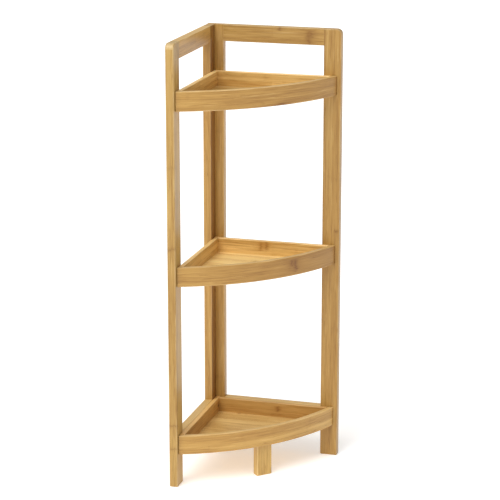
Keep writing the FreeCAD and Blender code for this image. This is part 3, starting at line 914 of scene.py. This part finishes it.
tray = {
    "boardThickness": 8 * mm,
    "grooveDepth": 3 * mm,
    "floorRecess": 3 * mm,
    "floorThickness": 5 * mm,
    "floorInset": 5 * mm,
    "floorSteps": 48,
    "rimRound": 1.3 * mm,
    "curveRadius": 377 * mm,
    "curveThickness": 9 * mm,
    "curveBack": 126.97 * mm,  # the arc's centre is this far behind both frames
    "curveSteps": 72,
    "curveSpare": 1.5,  # degrees past each frame, before the ends are cut
    "boardSpare": 2 * mm,
    "endGap": 0.8 * mm,
}
arcCentre = backCorner + Vector((-tray["curveBack"], tray["curveBack"], 0))
hollowRadius = tray["curveRadius"] - tray["curveThickness"]


def grooved(thickness, height, grooveSide):
    # a board's section as (through, up) corners, with the floor's groove in one face
    foot = tray["floorRecess"]
    top = foot + tray["floorThickness"]
    deep = tray["grooveDepth"]
    if grooveSide == "high":
        return [
            (0, 0), (thickness, 0), (thickness, foot), (thickness - deep, foot),
            (thickness - deep, top), (thickness, top), (thickness, height), (0, height),
        ]
    return [
        (0, 0), (thickness, 0), (thickness, height), (0, height),
        (0, top), (deep, top), (deep, foot), (0, foot),
    ]


def rimEdges(bm, low, high, alongAt):
    # the long square edges at a board's top and bottom
    bm.normal_update()
    found = []
    for edge in bm.edges:
        level = middle(edge).z
        onRim = same(level, low.z) or same(level, high.z)
        if onRim and len(edge.link_faces) == 2 and edge.calc_face_angle(0) > 1.2:
            if runsAlong(edge, alongAt(middle(edge))):
                found.append(edge)
    return found


def makeBoard(trayName, side):
    node = "%s_tray_%s_side" % (trayName, side)
    low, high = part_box(node)
    run = frames[side]["run"]
    runAxis = (xAxis, yAxis)[run]
    thickness = tray["boardThickness"]
    length = (high - low)[run] + tray["boardSpare"]
    back = high.y if side == "left" else low.x

    def place(through, up):
        if side == "left":
            return (leftInner + through, back, low.z + up)
        return (back, rightInner - through, low.z + up)

    bm = sectionFace(grooved(thickness, high.z - low.z, "high"), place)
    extrude(bm, Vector((0, -length, 0)) if side == "left" else Vector((length, 0, 0)))

    # the front end follows the hollow of the bow front
    spots = []
    for through in (0, thickness):
        reach = math.sqrt(hollowRadius ** 2 - (tray["curveBack"] + through) ** 2)
        reach -= tray["curveBack"]
        step = (through, -reach, 0) if side == "left" else (reach, -through, 0)
        spots.append(backCorner + Vector(step))
    chord = (spots[1] - spots[0]).normalized()
    outward = Vector((chord.y, -chord.x, 0))
    if outward.dot(spots[0] - arcCentre) < 0:
        outward = -outward
    cutAcross(bm, spots[0], outward, True)
    roundOver(bm, rimEdges(bm, low, high, lambda co: runAxis), tray["rimRound"])
    finishPiece(
        node, bm, "side", railFibres(run), lambda co: runAxis,
        [trayName + "_tray_screws", "rear_tray_screws"],
    )


def arcFibres(co):
    spoke = co - arcCentre
    turn = math.atan2(-spoke.y, spoke.x)
    return (turn * tray["curveRadius"], co.z, math.hypot(spoke.x, spoke.y))


def arcAlong(co):
    spoke = co - arcCentre
    return Vector((spoke.y, -spoke.x, 0)).normalized()


def makeCurvedRail(trayName):
    node = trayName + "_tray_curved_rail"
    low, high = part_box(node)

    def place(through, up):
        return (arcCentre.x + hollowRadius + through, arcCentre.y, low.z + up)

    bm = sectionFace(grooved(tray["curveThickness"], high.z - low.z, "low"), place)
    first = math.asin(tray["curveBack"] / tray["curveRadius"]) - math.radians(tray["curveSpare"])
    turn = Matrix.Rotation(-first, 3, "Z")
    bmesh.ops.rotate(bm, verts=bm.verts, cent=arcCentre, matrix=turn)
    bmesh.ops.spin(
        bm, geom=bm.faces[:], cent=arcCentre, axis=zAxis, angle=2 * first - math.pi / 2,
        steps=tray["curveSteps"], use_merge=False,
    )
    bmesh.ops.recalc_face_normals(bm, faces=bm.faces)
    cutAcross(bm, backCorner + xAxis * tray["endGap"], -xAxis, True)
    cutAcross(bm, backCorner - yAxis * tray["endGap"], yAxis, True)
    roundOver(bm, rimEdges(bm, low, high, arcAlong), tray["rimRound"])
    finishPiece(node, bm, "board", arcFibres, arcAlong)


def makeTrayFloor(trayName):
    # the arc of the front edge, then the back corner
    node = trayName + "_tray_floor"
    low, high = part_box(node)
    radius = hollowRadius + tray["grooveDepth"]
    centre = Vector((arcCentre.x, arcCentre.y, low.z))
    first = math.asin((tray["curveBack"] + tray["floorInset"]) / radius)
    bm = bmesh.new()
    start = Vector((radius * math.cos(first), -radius * math.sin(first), 0))
    bmesh.ops.spin(
        bm, geom=[bm.verts.new(centre + start)], cent=centre, axis=zAxis,
        angle=2 * first - math.pi / 2, steps=tray["floorSteps"], use_merge=False,
    )
    front = sorted(bm.verts, key=lambda vert: arcFibres(vert.co)[0])
    corner = backCorner + Vector((tray["floorInset"], -tray["floorInset"], low.z))
    bm.faces.new(front + [bm.verts.new(corner)])
    extrude(bm, Vector((0, 0, high.z - low.z)))
    fasteners = ["leg_screws"] if trayName == "bottom" else []
    finishPiece(node, bm, "panel", tuple, lambda co: xAxis, fasteners)


for tierName in tiers:
    makeTrayFloor(tierName)
    makeBoard(tierName, "left")
    makeBoard(tierName, "right")
    makeCurvedRail(tierName)
print("trays made")

leg = {
    "width": 30 * mm,
    "thickness": 15 * mm,
    "front": 187.9 * mm,  # its front face from the back corner, along the diagonal
    "ease": 1.5 * mm,
}


def legFibres(co):
    return (co.z, co.dot((xAxis + yAxis).normalized()), co.dot((xAxis - yAxis).normalized()))


def makeLeg():
    # made square to the axes, then turned to look along the corner's diagonal
    low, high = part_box("front_leg")
    half = leg["width"] / 2
    back = leg["front"] - leg["thickness"]
    bm = block(Vector((back, -half, low.z)), Vector((leg["front"], half, high.z)))
    below = [e for e in bm.edges if middle(e).z < high.z - closeTo]
    roundOver(bm, below, leg["ease"])
    turn = Matrix.Rotation(math.radians(-45), 4, "Z")
    bmesh.ops.transform(bm, verts=bm.verts, matrix=Matrix.Translation(backCorner) @ turn)
    finishPiece(
        "front_leg", bm, "frame", legFibres, lambda co: zAxis, ["leg_screws"]
    )


makeLeg()
print("leg made")

for kindName in bambooKinds:
    kindMarks = marksFor(kindName, grainOrigins)
    finish = bambooMaterial("bamboo" + kindName.capitalize(), kindName, kindMarks)
    for piece, pieceKind in pieces.values():
        if pieceKind == kindName:
            piece.data.materials.clear()
            piece.data.materials.append(finish)

metal = {
    "color": (0.56, 0.40, 0.17, 1),
    "tarnish": (0.26, 0.16, 0.07, 1),
    "roughness": 0.36,
}
beech = {
    "color": (0.62, 0.44, 0.26, 1),
    "fibre": (0.42, 0.26, 0.13, 1),
    "roughness": 0.62,
}


def screwMaterial():
    graph = Graph("screwZinc")
    place = graph.add("TexCoord", None, None, "Object")
    cloud = graph.noise(place, (420, 420, 420), 4.0, 0.6)
    scratch = graph.noise(place, (2600, 500, 1400), 2.0)
    color = graph.blend(cloud.ramp(0.42, 0.68), metal["color"], metal["tarnish"])
    normal = graph.bump(scratch, 0.2, 0.08 * mm)
    roughness = metal["roughness"] + (cloud - 0.5) * 0.3 + (scratch - 0.5) * 0.15
    graph.shade(Base_Color=color, Roughness=roughness.clamp(), Normal=normal, Metallic=1.0)
    return graph.material


def dowelMaterial():
    graph = Graph("dowelBeech")
    place = graph.add("TexCoord", None, None, "Object")
    fleck = graph.noise(place, (900, 900, 900), 3.0, 0.6)
    broad = graph.noise(place, (90, 90, 260), 2.0)
    color = graph.blend(fleck.ramp(0.5, 0.7) * 0.6, beech["color"], beech["fibre"])
    color = graph.blend(broad.ramp(0.4, 0.7) * 0.3, color, beech["fibre"])
    roughness = beech["roughness"] + (fleck - 0.5) * 0.2
    normal = graph.bump(fleck, 0.3, 0.2 * mm)
    graph.shade(Base_Color=color, Roughness=roughness, Normal=normal)
    return graph.material


fastenerFinishes = {"screws": screwMaterial(), "dowels": dowelMaterial()}
for nodeName in fastenerHoles:
    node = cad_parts[nodeName]
    finish = fastenerFinishes[nodeName.split("_")[-1]]
    for slot in node.material_slots:
        slot.material = finish
    if not node.material_slots:
        node.data.materials.append(finish)
print("finishes set")
